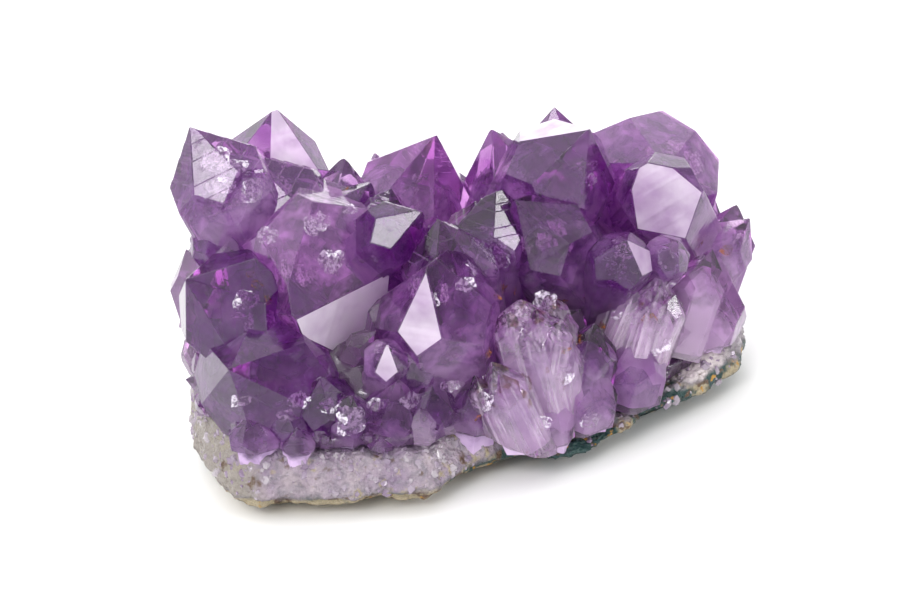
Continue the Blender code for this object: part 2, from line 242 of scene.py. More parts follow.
def linear(colour: str) -> tuple[float, float, float, float]:
    """Turns an sRGB hex colour into linear RGBA.

    Args:
        colour: six hex digits after a hash sign.

    Returns:
        Red, green, blue and alpha from 0 to 1.
    """
    parts = [int(colour[place : place + 2], 16) / 255 for place in (1, 3, 5)]
    bright = [c / 12.92 if c <= 0.04045 else ((c + 0.055) / 1.055) ** 2.4 for c in parts]
    return (*bright, 1.0)


def add_node(tree: bpy.types.NodeTree, kind: str, inputs: dict | None = None, **settings) -> bpy.types.Node:
    """Adds a node with its settings and links.

    Args:
        tree: the node tree.
        kind: the node's type without its ShaderNode prefix.
        inputs: socket name or number to a value, a node (its first output) or an output socket.
        settings: the node's own properties.

    Returns:
        The new node.
    """
    node = tree.nodes.new("ShaderNode" + kind)
    for name, value in settings.items():
        setattr(node, name, value)
    for key, value in (inputs or {}).items():
        if isinstance(value, bpy.types.Node):
            value = value.outputs[0]
        if isinstance(value, bpy.types.NodeSocket):
            tree.links.new(value, node.inputs[key])
        else:
            node.inputs[key].default_value = value
    return node


def new_material(name: str) -> tuple[bpy.types.Material, bpy.types.NodeTree]:
    """Makes an empty material.

    Args:
        name: its name.

    Returns:
        The material and its node tree.
    """
    made = bpy.data.materials.new(name)
    made.use_nodes = True
    made.node_tree.nodes.clear()
    return made, made.node_tree


def millimetres(tree: bpy.types.NodeTree) -> bpy.types.NodeSocket:
    """The place on the object, in millimetres."""
    place = add_node(tree, "TexCoord").outputs["Object"]
    return add_node(tree, "VectorMath", {0: place, 3: 1 / MM}, operation="SCALE").outputs[0]


def limits(low: float, high: float, first: float = 0.0, last: float = 1.0) -> dict[str, float]:
    """The range of values that goes in, and the first and last value that come out."""
    return {"From Min": low, "From Max": high, "To Min": first, "To Max": last}


def held(share: float) -> float:
    """The share, held between 0 and 1."""
    return min(max(share, 0.0), 1.0)


def between(span: tuple[float, float], share: float) -> float:
    """The value at a share of the way from the first of a pair to the second."""
    return span[0] + (span[1] - span[0]) * share


def direction(lean: float, bearing: float) -> Vector:
    """Points the way that a long axis leans.

    Args:
        lean: degrees from straight up.
        bearing: degrees from +X towards +Y.

    Returns:
        The unit vector.
    """
    upright = Vector((0, 0, 1))
    upright.rotate(Matrix.Rotation(math.radians(lean), 3, "Y"))
    upright.rotate(Matrix.Rotation(math.radians(bearing), 3, "Z"))
    return upright


def chance(*key: float) -> float:
    """A steady random number from 0 to 1 for a key of up to three numbers."""
    padded = (*key, 0.0, 0.0)[:3]
    return noise.cell(Vector(padded) * 3.7 + Vector((0.5, 0.5, 0.5))) / 2 + 0.5


@dataclass(frozen=True)
class SlabPlan:
    """Plan of the slab and of the crust on it, in millimetres, as in the part."""

    spine: tuple = ((-34.0, 2.0), (38.0, 5.0))
    rim: tuple = (
        (-50, 8), (-51, -8), (-47, -20), (-39, -23), (-28, -27), (-16, -30), (-9, -26), (2, -24),
        (10, -28), (20, -26), (30, -22), (41, -18), (50, -14), (56, -6), (58, 4), (55, 16),
        (46, 24), (30, 28), (12, 27), (-6, 30), (-24, 28), (-39, 29), (-47, 21),
    )
    top: tuple = ((-56, 16.0), (-32, 13.0), (-8, 11.0), (10, 6.0), (32, 7.0), (50, 11.0), (62, 12.0))
    top_relief: float = 1.5
    grain: float = 9.0
    top_seed: float = 3.1
    points: int = 168

    def height(self, x: float, y: float) -> float:
        """Finds the slab's top.

        Args:
            x: place along the slab.
            y: place across it.

        Returns:
            Height of the top there.
        """
        level = self.top[-1][1]
        if x <= self.top[0][0]:
            level = self.top[0][1]
        else:
            for (x0, z0), (x1, z1) in zip(self.top, self.top[1:]):
                if x <= x1:
                    share = (x - x0) / (x1 - x0)
                    level = z0 + (z1 - z0) * share * share * (3 - 2 * share)
                    break
        return level + self.top_relief * noise.noise(Vector((x / self.grain, y / self.grain, self.top_seed)))

    def spine_point(self, x: float) -> Vector:
        """Finds the middle line of the slab.

        Args:
            x: place along the slab.

        Returns:
            Point of the spine abreast of x.
        """
        start, end = (Vector(point) for point in self.spine)
        share = held((x - start.x) / (end.x - start.x))
        return start.lerp(end, share)

    def rim_point(self, share: float) -> Vector:
        """Follows the rim, a smooth closed curve.

        Args:
            share: share of the way round.

        Returns:
            Point of the rim.
        """
        count = len(self.rim)
        place = (share % 1.0) * count
        index = int(place)
        t = place - index
        before, start, end, after = (Vector(self.rim[(index + k) % count]) for k in (-1, 0, 1, 2))
        curve = start * 2 + (end - before) * t
        curve += (before * 2 - start * 5 + end * 4 - after) * t**2
        curve += (start * 3 - before - end * 3 + after) * t**3
        return curve / 2

    def inward(self, point: Vector, share: float) -> Vector:
        """A point of the plan moved a share of the way to the spine."""
        return point.lerp(self.spine_point(point.x), share)

    def ring(self, share_in: float, rise: float) -> list[Vector]:
        """Lays a closed row of points round the slab.

        Args:
            share_in: how far in from the rim, as a share of the way to the spine.
            rise: height over the slab's top.

        Returns:
            The points.
        """
        found = []
        for number in range(self.points):
            flat = self.inward(self.rim_point(number / self.points), share_in)
            found.append(Vector((flat.x, flat.y, self.height(flat.x, flat.y) + rise)))
        return found


def solid_from_rings(rings: list[list[Vector]]) -> bmesh.types.BMesh:
    """A closed mesh through rows of points, lowest first, with both ends capped.

    Args:
        rings: the rows, each with the same number of points.

    Returns:
        The mesh, its faces out.
    """
    mesh = bmesh.new()
    rows = [[mesh.verts.new(point) for point in points] for points in rings]
    for lower, upper in zip(rows, rows[1:]):
        for number in range(len(lower)):
            after = (number + 1) % len(lower)
            mesh.faces.new((lower[number], lower[after], upper[after], upper[number]))
    mesh.faces.new(reversed(rows[0]))
    mesh.faces.new(rows[-1])
    bmesh.ops.triangulate(mesh, faces=[face for face in mesh.faces if len(face.verts) > 4])
    bmesh.ops.recalc_face_normals(mesh, faces=mesh.faces)
    return mesh


def make_object(name: str, mesh: bmesh.types.BMesh, collection: bpy.types.Collection) -> bpy.types.Object:
    """Makes an object from a bmesh that is used up.

    Args:
        name: the object's name.
        mesh: the bmesh.
        collection: the collection that takes it.

    Returns:
        The new object.
    """
    data = bpy.data.meshes.new(name)
    mesh.to_mesh(data)
    mesh.free()
    made = bpy.data.objects.new(name, data)
    collection.objects.link(made)
    return made


def write_attribute(data: bpy.types.Mesh, name: str, kind: str, domain: str, values: list[float]) -> None:
    """Writes an attribute on a mesh.

    Args:
        data: the mesh.
        name: the attribute's name.
        kind: its data type, FLOAT or FLOAT_VECTOR.
        domain: what it belongs to, such as CORNER or FACE.
        values: the numbers, one or three for each corner or face.
    """
    made = data.attributes.new(name, kind, domain)
    made.data.foreach_set("vector" if kind == "FLOAT_VECTOR" else "value", np.array(values, dtype=np.float32))


@dataclass
class CrystalCluster:
    """All crystals as one glassy solid, with worn edges, growth plates and broken faces."""

    plan: SlabPlan
    slide: Vector
    seat_gap: float = 0.3
    seat_floor: float = -20.0
    seat_rings: tuple[float, ...] = (-0.9, -0.3, 0.07, 0.25, 0.55, 0.85)
    edge_wear: float = 0.16
    uneven: float = 0.5
    columns: int = 7
    steps: int = 4
    step_span: tuple[float, float] = (0.25, 1.3)
    step_rise: float = 0.13
    front_dip: float = 6.5
    plate_layers: int = 2
    plate_inset: tuple[float, float] = (0.04, 0.11)
    plate_rise: tuple[float, float] = (0.08, 0.2)
    same_way: float = 0.995
    crust_lumps: tuple[tuple[float, float], ...] = ((5.0, 1.4), (1.9, 0.7))
    crust_rings: tuple = ((0.08, -3.0), (0.05, 3.0), (0.12, 9.0), (0.30, 16.0), (0.55, 21.0), (0.85, 23.0))
    small_rows: tuple = (
        (34, 0.0, 1.0, 0.10, 2.5, 1.9, 4.5),
        (26, 0.0, 1.0, 0.15, 7.5, 2.6, 5.5),
        (11, 0.64, 1.0, 0.16, 12.0, 4.2, 8.0),
        (9, 0.66, 0.98, 0.22, 20.0, 5.2, 9.0),
    )
    crumb_rows: tuple = (
        (70, 0.07, 4.5, 1.4, 3.0),
        (60, 0.12, 9.5, 1.7, 3.4),
        (50, 0.22, 13.5, 1.9, 3.8),
        (44, 0.33, 17.5, 2.1, 4.2),
        (30, 0.50, 20.5, 2.3, 4.6),
        (20, 0.70, 22.5, 2.3, 4.6),
    )

    def small_crystals(self) -> list[Crystal]:
        """Scatters the small crystals round the foot of the crust.

        Returns:
            The crystals, row by row.
        """
        made = []
        for row, (count, first, last, share_in, height, half, stand) in enumerate(self.small_rows):
            for number in range(count):
                luck = [noise.cell(Vector((number, row, channel))) for channel in range(5)]
                place = number + row / 2 + between((-0.35, 0.35), luck[0])
                rim = self.plan.rim_point(between((first, last), place / count))
                foot = self.plan.inward(rim, share_in)
                out = foot - self.plan.spine_point(foot.x)
                size = between((0.75, 1.35), luck[1])
                lean = between((35.0, 70.0), luck[2])
                bearing = math.degrees(math.atan2(out.y, out.x)) + 50.0 * (luck[3] - 0.5)
                base = Vector((foot.x, foot.y, self.plan.height(foot.x, foot.y) + height))
                tip = base + direction(lean, bearing) * stand * size
                turn = luck[4] * 360 / SIDES
                grown_as = (tuple(tip), lean, bearing, turn, half * size, stand * size + 5.0)
                tone = between((0.35, 1.0), chance(number, row, 9))
                made.append(Crystal(*grown_as, habit=Habit.SMALL, tone=tone))
        return made

    def terraces(self, crystal: Crystal) -> list[Crystal]:
        """Steps a crystal's tip with growth layers, each a blunt copy over the one before.

        Args:
            crystal: the crystal of the plan.

        Returns:
            The crystal and its layers.
        """
        made = [crystal]
        for step in range(1, self.steps + 1):
            share = (step - 0.7 * chance(crystal.tip[0], step, 30)) / self.steps
            layer = replace(
                crystal,
                cuts=tuple(cut - self.step_rise * step for cut in crystal.cuts),
                blunt=crystal.half * between(self.step_span, share),
            )
            made.append(layer)
        return made

    def bundle(self, crystal: Crystal) -> list[Crystal]:
        """Splits a broken crystal into slim parallel columns round a lower core.

        Args:
            crystal: the crystal of the plan.

        Returns:
            The core and the columns.
        """
        place = crystal.placement()
        key = crystal.tip[0]
        middle = place @ Vector((0, 0, -0.45 * crystal.half))
        made = [replace(crystal, tip=tuple(middle), half=crystal.half * 0.80)]
        for column in range(self.columns):
            turn = 2 * math.pi * (column + 0.6 * chance(key, column, 1)) / self.columns
            reach = crystal.half * between((0.35, 0.80), chance(key, column, 2))
            down = crystal.half * between((0.15, 1.5), chance(key, column, 3))
            made.append(
                replace(
                    crystal,
                    tip=tuple(place @ Vector((math.cos(turn) * reach, math.sin(turn) * reach, -down))),
                    lean=crystal.lean + between((-5, 5), chance(key, column, 4)),
                    bearing=crystal.bearing + between((-7, 7), chance(key, column, 5)),
                    half=crystal.half * between((0.28, 0.52), chance(key, column, 6)),
                    long=crystal.long - down,
                    cuts=tuple(1.4 * chance(key, column, 7 + side) for side in range(SIDES)),
                    tone=crystal.tone + between((-0.25, 0.15), chance(key, column, 8)),
                )
            )
        return made

    def dip(self, point: Vector, up: float) -> float:
        """How much lower the crust lies at the front than its rings say, at a height over the slab."""
        front = (self.plan.spine_point(point.x).y - 4.0 - point.y) / 8.0
        return self.front_dip * held(front) * held((up - 2.0) / 8.0)

    def crumbs(self) -> list[Crystal]:
        """Scatters little crystals all over the crust where the big ones leave it bare.

        Returns:
            The crystals, row by row.
        """
        grown = [(crystal.placement().inverted(), crystal) for crystal in PLAN]
        made = []
        for row, (count, share_in, height, half, stand) in enumerate(self.crumb_rows):
            for number in range(count):
                rim = self.plan.rim_point((number + chance(number, row, 20)) / count)
                foot = self.plan.inward(rim, share_in + between((-0.04, 0.04), chance(number, row, 21)))
                out = foot - self.plan.spine_point(foot.x)
                lean = between((15.0, 75.0), chance(number, row, 22)) * (1 - row / 10)
                bearing = math.degrees(math.atan2(out.y, out.x)) + between((-50, 50), chance(number, row, 23))
                size = between((0.6, 1.6), chance(number, row, 24))
                level = self.plan.height(foot.x, foot.y) + height
                base = Vector((foot.x, foot.y, level - self.dip(foot, height)))
                tip = base + direction(lean, bearing) * stand * size
                if not any(crystal.holds(back @ point) for back, crystal in grown for point in (base, tip)):
                    turn = 60 * chance(number, row, 25)
                    grown_as = (tuple(tip), lean, bearing, turn, half * size, stand * size + 4.0)
                    tone = between((0.1, 1.0), chance(number, row, 26))
                    made.append(Crystal(*grown_as, habit=Habit.SMALL, tone=tone))
        return made

    def crystal_solid(self, crystal: Crystal, uneven: float = 0.0) -> bmesh.types.BMesh:
        """A crystal with sharp edges in its own millimetres, tip up at the origin.

        Args:
            crystal: the crystal.
            uneven: how far a slanted face may lie from where the plan has it.

        Returns:
            The closed solid.
        """
        mesh = bmesh.new()
        corner = crystal.half / math.cos(math.pi / SIDES)
        sink = Matrix.Translation((0, 0, -crystal.long / 2))
        bmesh.ops.create_cone(
            mesh,
            cap_ends=True,
            segments=SIDES,
            radius1=corner,
            radius2=corner,
            depth=crystal.long,
            matrix=sink @ Matrix.Rotation(math.pi / SIDES, 4, "Z"),
        )
        faces = []
        for number in range(SIDES):
            pole = direction(POLE_ANGLE, number * 360 / SIDES)
            moved_in = crystal.cuts[number] + uneven * chance(*crystal.tip[:2], number)
            faces.append((pole * -moved_in, pole))
        if crystal.blunt:
            faces.append((Vector((0, 0, -crystal.blunt)), Vector((0, 0, 1))))
        for point, outward in faces:
            bmesh.ops.bisect_plane(
                mesh,
                geom=mesh.verts[:] + mesh.edges[:] + mesh.faces[:],
                dist=1e-5,
                plane_co=point,
                plane_no=outward,
                clear_outer=True,
            )
            bmesh.ops.holes_fill(mesh, edges=mesh.edges[:], sides=0)
        bmesh.ops.recalc_face_normals(mesh, faces=mesh.faces)
        return mesh

    def add_plates(self, mesh: bmesh.types.BMesh, crystal: Crystal) -> None:
        """Raises thin growth plates on the larger long sides of a crystal.

        Args:
            mesh: the crystal's solid.
            crystal: the crystal.
        """
        for face in list(mesh.faces):
            if abs(face.normal.z) > 0.3 or face.calc_area() < (crystal.half * 0.7) ** 2:
                continue
            layers = [face]
            for layer in range(self.plate_layers):
                inset = crystal.half * between(self.plate_inset, chance(*crystal.tip[:2], face.index + layer))
                rise = between(self.plate_rise, chance(*crystal.tip[1:], face.index - layer))
                made = bmesh.ops.inset_individual(mesh, faces=layers, thickness=inset, depth=rise)
                layers = [top for top in layers if top.is_valid]
                if not made["faces"]:
                    break

    def wear_edges(self, mesh: bmesh.types.BMesh, crystal: Crystal, wear: float) -> None:
        """Takes the sharpness off a crystal's edges.

        Args:
            mesh: the crystal's solid.
            crystal: the crystal.
            wear: width of the worn edge.
        """
        bmesh.ops.bevel(
            mesh,
            geom=[e for e in mesh.edges if max(v.co.z for v in e.verts) > -crystal.long * 0.9],
            offset=wear,
            segments=1,
            affect="EDGES",
            clamp_overlap=True,
        )
        bmesh.ops.remove_doubles(mesh, verts=mesh.verts, dist=wear / 8)
        bmesh.ops.dissolve_degenerate(mesh, edges=mesh.edges, dist=wear / 8)

    def finished_crystal(self, crystal: Crystal) -> bmesh.types.BMesh:
        """Makes a crystal with the details of its habit.

        Args:
            crystal: the crystal.

        Returns:
            Its closed solid.
        """
        if crystal.habit is Habit.SMALL:
            return self.crystal_solid(crystal, self.uneven / 2)
        mesh = self.crystal_solid(crystal, self.uneven)
        self.wear_edges(mesh, crystal, self.edge_wear)
        if crystal.habit is Habit.PLATED:
            self.add_plates(mesh, crystal)
        bmesh.ops.triangulate(mesh, faces=[face for face in mesh.faces if len(face.verts) > 4])
        return mesh

    def place(self, mesh: bmesh.types.BMesh, matrix: Matrix) -> bmesh.types.BMesh:
        """Carries a mesh in millimetres to the row frame.

        Args:
            mesh: the mesh.
            matrix: its place in millimetres.

        Returns:
            The same mesh.
        """
        world = Matrix.Translation(self.slide) @ Matrix.Scale(MM, 4) @ matrix
        bmesh.ops.transform(mesh, matrix=world, verts=mesh.verts)
        return mesh

    def crust_solid(self) -> bmesh.types.BMesh:
        """Makes the rough mound that the crystals stand in.

        Returns:
            The closed solid.
        """
        rings = []
        stations = self.crust_rings
        for (in0, up0), (in1, up1) in zip(stations, stations[1:]):
            steps = max(1, round(math.hypot((in1 - in0) * 28, up1 - up0) / 1.6))
            for step in range(steps):
                share = step / steps
                rings.append(self.plan.ring(between((in0, in1), share), between((up0, up1), share)))
        rings.append(self.plan.ring(*stations[-1]))
        mesh = solid_from_rings(rings)
        for vertex in mesh.verts:
            push = sum(noise.noise(vertex.co / wide) * high for wide, high in self.crust_lumps)
            lowered = self.dip(vertex.co, vertex.co.z - self.plan.height(vertex.co.x, vertex.co.y))
            vertex.co += vertex.normal * push - Vector((0, 0, lowered))
        return mesh

    def everything(self) -> list[Crystal]:
        """Lists all that grows, the plan's crystals with the layers or columns of their habit.

        Returns:
            The crystals.
        """
        habits = {Habit.BROKEN: self.bundle, Habit.PLATED: self.terraces}
        grown = []
        for crystal in PLAN:
            grown += habits[crystal.habit](crystal) if crystal.habit in habits else [crystal]
        return grown + self.small_crystals() + self.crumbs()

    def combine(self, piece: bpy.types.Object, operation: str, **settings) -> None:
        """Unites a piece with other solids, or cuts them from it.

        Args:
            piece: the piece.
            operation: UNION or DIFFERENCE.
            settings: which solids.
        """
        made = piece.modifiers.new(operation.lower(), "BOOLEAN")
        made.operation = operation
        made.solver = "EXACT"
        for name, value in settings.items():
            setattr(made, name, value)

    def build(self) -> bpy.types.Object:
        """Grows all crystals together and cuts them to sit on the slab.

        Returns:
            The one grown piece.
        """
        scene = bpy.context.scene.collection
        growth = bpy.data.collections.new("growth")
        scene.children.link(growth)
        everything = self.everything()
        for number, crystal in enumerate(everything):
            mesh = self.place(self.finished_crystal(crystal), crystal.placement())
            layer = mesh.faces.layers.int.new("crystal")
            for face in mesh.faces:
                face[layer] = number + 1
            make_object(f"growth_{number:03d}", mesh, growth)
        cluster = make_object("amethyst_druse", self.place(self.crust_solid(), Matrix.Identity(4)), scene)
        cluster.data.attributes.new("crystal", "INT", "FACE")
        seat = self.seat(scene)
        self.combine(cluster, "UNION", operand_type="COLLECTION", collection=growth)
        self.combine(cluster, "DIFFERENCE", object=seat)
        graph = bpy.context.evaluated_depsgraph_get()
        grown = bpy.data.meshes.new_from_object(cluster.evaluated_get(graph))
        cluster.modifiers.clear()
        cluster.data = grown
        for helper in [*growth.objects, seat]:
            bpy.data.objects.remove(helper, do_unlink=True)
        bpy.data.collections.remove(growth)
        self.drop_inner_shells(cluster.data)
        self.note_growth(cluster.data, everything)
        return cluster

    def drop_inner_shells(self, data: bpy.types.Mesh) -> None:
        """Keeps only the outer skin of the union, its largest connected part.

        Args:
            data: the grown mesh.
        """
        mesh = bmesh.new()
        mesh.from_mesh(data)
        left = set(mesh.verts)
        parts = []
        while left:
            part = {left.pop()}
            edge_of = list(part)
            while edge_of:
                near = [e.other_vert(v) for v in edge_of for e in v.link_edges]
                edge_of = [v for v in dict.fromkeys(near) if v in left]
                left.difference_update(edge_of)
                part.update(edge_of)
            parts.append(part)
        parts.sort(key=len)
        bmesh.ops.delete(mesh, geom=[v for part in parts[:-1] for v in part], context="VERTS")
        mesh.to_mesh(data)
        mesh.free()

    def note_growth(self, data: bpy.types.Mesh, everything: list[Crystal]) -> None:
        """Writes each face's place in its own crystal on the mesh, for the finish.

        Args:
            data: the grown mesh, whose faces carry the number of their crystal, 0 for the crust.
            everything: the crystals in the order of those numbers.
        """
        owner = np.zeros(len(data.polygons), dtype=np.int32)
        data.attributes["crystal"].data.foreach_get("value", owner)
        world = Matrix.Translation(self.slide) @ Matrix.Scale(MM, 4)
        back = [world.inverted()] + [(world @ crystal.placement()).inverted() for crystal in everything]
        turned = [matrix.to_3x3().normalized() for matrix in back]
        grown, milk, frost_and_reflection, tone, streak = [], [], [], [], []
        for face in data.polygons:
            number = int(owner[face.index])
            crystal = everything[number - 1] if number else None
            face.use_smooth = crystal is None
            streak.append(1.0 if crystal is not None and crystal.habit is Habit.BROKEN else 0.0)
            local_normal = turned[number] @ face.normal
            # Satin faces, which the finish makes rougher and paints pale, partly as a reflection of the
            # light.
            satin = crystal is not None and self.slanted_face(local_normal) in crystal.frost_and_reflection
            milkiness = between((0.3, 1.0), crystal.tone) if crystal else 0.6
            frost_and_reflection.append(1.0 if satin else 0.0)
            tone.append(crystal.tone if crystal else 0.35)
            for corner in face.loop_indices:
                local = back[number] @ data.vertices[data.loops[corner].vertex_index].co
                grown.extend(local)
                depth = -local.z / (crystal.half * 3.2) if crystal else 0.9
                depth += 0.35 if crystal and crystal.habit is Habit.SMALL else 0.0
                milk.append(held(depth - 0.35) * milkiness)
        write_attribute(data, "grown", "FLOAT_VECTOR", "CORNER", grown)
        write_attribute(data, "milk", "FLOAT", "CORNER", milk)
        write_attribute(data, "frost_and_reflection", "FLOAT", "FACE", frost_and_reflection)
        write_attribute(data, "tone", "FLOAT", "FACE", tone)
        write_attribute(data, "streak", "FLOAT", "FACE", streak)
        write_attribute(data, "luck", "FLOAT", "FACE", [chance(number) for number in owner])

    def slanted_face(self, normal: Vector) -> int:
        """Tells a crystal's slanted faces from its other faces.

        Args:
            normal: a face's normal in the crystal's own frame.

        Returns:
            The face's number, or -1 for another face.
        """
        number = round(math.degrees(math.atan2(normal.y, normal.x)) / (360 / SIDES)) % SIDES
        pole = direction(POLE_ANGLE, number * 360 / SIDES)
        return number if pole.dot(normal) > self.same_way else -1

    def seat(self, scene: bpy.types.Collection) -> bpy.types.Object:
        """Makes the shape of everything under the crystals, which cuts them.

        Args:
            scene: the collection that takes it.

        Returns:
            The new object.
        """
        rings = [[Vector((p.x, p.y, self.seat_floor)) for p in self.plan.ring(self.seat_rings[0], 0.0)]]
        rings += [self.plan.ring(share_in, self.seat_gap) for share_in in self.seat_rings]
        return make_object("seat", self.place(solid_from_rings(rings), Matrix.Identity(4)), scene)


@dataclass
class MilkyRoots:
    """The cloudy roots inside the crystals, which follow each crystal's own shape."""

    slide: Vector
    girth: float = 0.78
    start: float = 0.95

    def build(self, cluster: CrystalCluster) -> bpy.types.Object:
        """Makes one mesh of all the cloudy roots.

        Args:
            cluster: the crystals, which know how to make one.

        Returns:
            The new object.
        """
        mesh = bmesh.new()
        grown = mesh.loops.layers.float_vector.new("grown")
        cloud = mesh.loops.layers.float.new("cloud")
        tone = mesh.faces.layers.float.new("tone")
        for crystal in PLAN:
            back = crystal.half * self.start
            core = replace(crystal, half=crystal.half * self.girth, long=crystal.long - back - 1.0)
            solid = cluster.crystal_solid(core)
            bmesh.ops.transform(solid, matrix=Matrix.Translation((0, 0, -back)), verts=solid.verts)
            known = {}
            for vertex in solid.verts:
                known[vertex] = mesh.verts.new((crystal.placement() @ vertex.co) * MM + self.slide)
            for face in solid.faces:
                made = mesh.faces.new([known[vertex] for vertex in face.verts])
                made[tone] = crystal.tone
                for loop, vertex in zip(made.loops, face.verts):
                    loop[grown] = vertex.co
                    loop[cloud] = -vertex.co.z / crystal.half
            solid.free()
        return make_object("milky_roots", mesh, bpy.context.scene.collection)


@dataclass
class InnerFlakes:
    """Thin curved flakes inside the crystals: healed fractures, which along the foot also paint glints of
    light, and iron stains.

    Args:
        name: the piece's name.
        spots: places in the photograph, in pixels, with the flake's radius in millimetres.
        depth: how far under the face a flake at a spot lies.
        scattered: how many more lie anywhere in the crystals.
    """

    name: str
    spots: tuple[tuple[float, float, float], ...]
    depth: float
    scattered: int = 0
    rings: int = 4
    around: int = 18

    def flake(
        self, mesh: bmesh.types.BMesh, centre: Vector, facing: Vector, radius: float, seed: float
    ) -> None:
        """Adds one bent flake, in millimetres.

        Args:
            mesh: the mesh that takes it.
            centre: its middle.
            facing: the direction that it faces.
            radius: its size.
            seed: a number that gives it its own outline and bend.
        """
        spin = facing.to_track_quat("Z", "Y").to_matrix()
        middle = mesh.verts.new(centre)
        rows = []
        for ring in range(1, self.rings + 1):
            row = []
            for step in range(self.around):
                turn = 2 * math.pi * step / self.around
                ragged = 1 + 0.45 * noise.noise(Vector((math.cos(turn), math.sin(turn), seed)) * 1.7)
                reach = radius * ring / self.rings * ragged
                flat = Vector((math.cos(turn) * reach, math.sin(turn) * reach * 0.7, 0))
                flat.z = 0.35 * radius * noise.noise(flat / radius * 1.3 + Vector((seed, 0, 0)))
                row.append(mesh.verts.new(centre + spin @ flat))
            rows.append(row)
        for step in range(self.around):
            after = (step + 1) % self.around
            mesh.faces.new((middle, rows[0][step], rows[0][after]))
            for inner, outer in zip(rows, rows[1:]):
                mesh.faces.new((inner[step], outer[step], outer[after], inner[after]))

    def build(self, studio: "Studio", druse: bpy.types.Object, slide: Vector) -> bpy.types.Object:
        """Makes one mesh of all the flakes.

        Args:
            studio: the camera's place, for the spots of the photograph.
            druse: the grown crystals.
            slide: from the plan's origin to the row frame, in metres.

        Returns:
            The new object.
        """
        mesh = bmesh.new()
        points = [vertex.co / MM for vertex in druse.data.vertices]
        skin = BVHTree.FromPolygons(points, [tuple(face.vertices) for face in druse.data.polygons])
        eye = studio.eye() / MM
        for number, (across, down, radius) in enumerate(self.spots):
            ray = studio.ray(across, down)
            hit, normal, _, _ = skin.ray_cast(eye, ray)
            if hit is None:
                continue
            tilt = Vector([chance(number, draw) - 0.5 for draw in (1, 2, 3)])
            self.flake(mesh, hit + ray * self.depth, (normal + tilt * 0.8).normalized(), radius, number)
        everything = [*CREST, *MIDDLE, *FRONT, *BACK]
        for number in range(self.scattered):
            crystal = everything[int(chance(number, 11) * len(everything))]
            turn = chance(number, 12) * 2 * math.pi
            reach = crystal.half * 0.5 * chance(number, 13)
            down = crystal.half * between((1.0, 2.3), chance(number, 14))
            local = Vector((math.cos(turn) * reach, math.sin(turn) * reach, -down))
            facing = Vector([chance(number, draw) - 0.5 for draw in (15, 16, 17)]).normalized()
            radius = crystal.half * between((0.14, 0.34), chance(number, 18))
            self.flake(mesh, crystal.placement() @ local + slide / MM, facing, radius, number + 100)
        bmesh.ops.scale(mesh, vec=(MM, MM, MM), verts=mesh.verts)
        return make_object(self.name, mesh, bpy.context.scene.collection)


@dataclass
class SugarDruse:
    """Tiny quartz crystals like coarse sugar on the upper part of the slab's broken side."""

    count: int = 3600
    half: tuple[float, float] = (0.28, 0.95)
    spread: float = 35.0
    lowest: float = 3.5
    full: float = 9.0

    def build(self, cluster: CrystalCluster, slab: bpy.types.Object) -> bpy.types.Object:
        """One mesh of all the tiny crystals, each rooted in the slab's surface.

        Args:
            cluster: the crystals, which know how to make one.
            slab: the slab that carries them.

        Returns:
            The new object.
        """
        mesh = bmesh.new()
        faces = slab.data.polygons
        for number in range(self.count):
            face = faces[int(chance(number, 1) * (len(faces) - 1))]
            place = face.center / MM
            crowded = (place.z - self.lowest) / (self.full - self.lowest)
            if chance(number, 2) > crowded or face.normal.z < -0.2:
                continue
            half = between(self.half, chance(number, 3) ** 2)
            spread = (-self.spread, self.spread)
            lean = math.degrees(math.acos(face.normal.z)) + between(spread, chance(number, 4))
            bearing = math.degrees(math.atan2(face.normal.y, face.normal.x))
            bearing += between(spread, chance(number, 5))
            tip = place + direction(lean, bearing) * half * 1.3
            grain = Crystal(tuple(tip), lean, bearing, 60 * chance(number, 6), half, half * 3.0)
            solid = cluster.crystal_solid(grain, half * 0.5)
            bmesh.ops.transform(solid, matrix=grain.placement(), verts=solid.verts)
            known = {vertex: mesh.verts.new(vertex.co * MM) for vertex in solid.verts}
            for side in solid.faces:
                mesh.faces.new([known[vertex] for vertex in side.verts])
            solid.free()
        return make_object("sugar_druse", mesh, bpy.context.scene.collection)


@dataclass
class MatrixSlab:
    """The slab of sugary quartz, chalcedony and altered lava that the crystals grew on."""

    voxel: float = 0.62
    swell: float = 1.2
    grit: float = 0.42
    grit_size: float = 1.3
    rind_top: float = 4.5

    def build(self, node: bpy.types.Object) -> bpy.types.Object:
        """A rough copy of the CAD slab.

        Args:
            node: the CAD node.

        Returns:
            The new slab, in the same place.
        """
        data = node.data.copy()
        data.transform(node.matrix_world)
        data.materials.clear()
        slab = bpy.data.objects.new("matrix_slab", data)
        bpy.context.scene.collection.objects.link(slab)
        remesh = slab.modifiers.new("voxels", "REMESH")
        remesh.mode = "VOXEL"
        remesh.voxel_size = self.voxel * MM
        graph = bpy.context.evaluated_depsgraph_get()
        fine = bpy.data.meshes.new_from_object(slab.evaluated_get(graph))
        slab.modifiers.clear()
        slab.data = fine
        normals = [vertex.normal.copy() for vertex in fine.vertices]
        for vertex, normal in zip(fine.vertices, normals):
            point = vertex.co / MM
            swell = noise.noise(point / 5.5) * 0.8 + noise.noise(point / 2.4) * 0.45 - 0.35
            ledge = noise.noise(Vector((point.x / 7, point.y / 7, 4.0))) * 1.5
            rind = held((self.rind_top + ledge - point.z) / 0.8)
            grain = 0.55 - noise.voronoi(point / self.grit_size)[0][0]
            out = self.swell * swell + self.grit * grain * (1.6 - rind) - 0.7 * rind
            lift = held(point.z / 1.2)
            vertex.co += normal * out * lift * MM
        for face in fine.polygons:
            face.use_smooth = True
        return slab


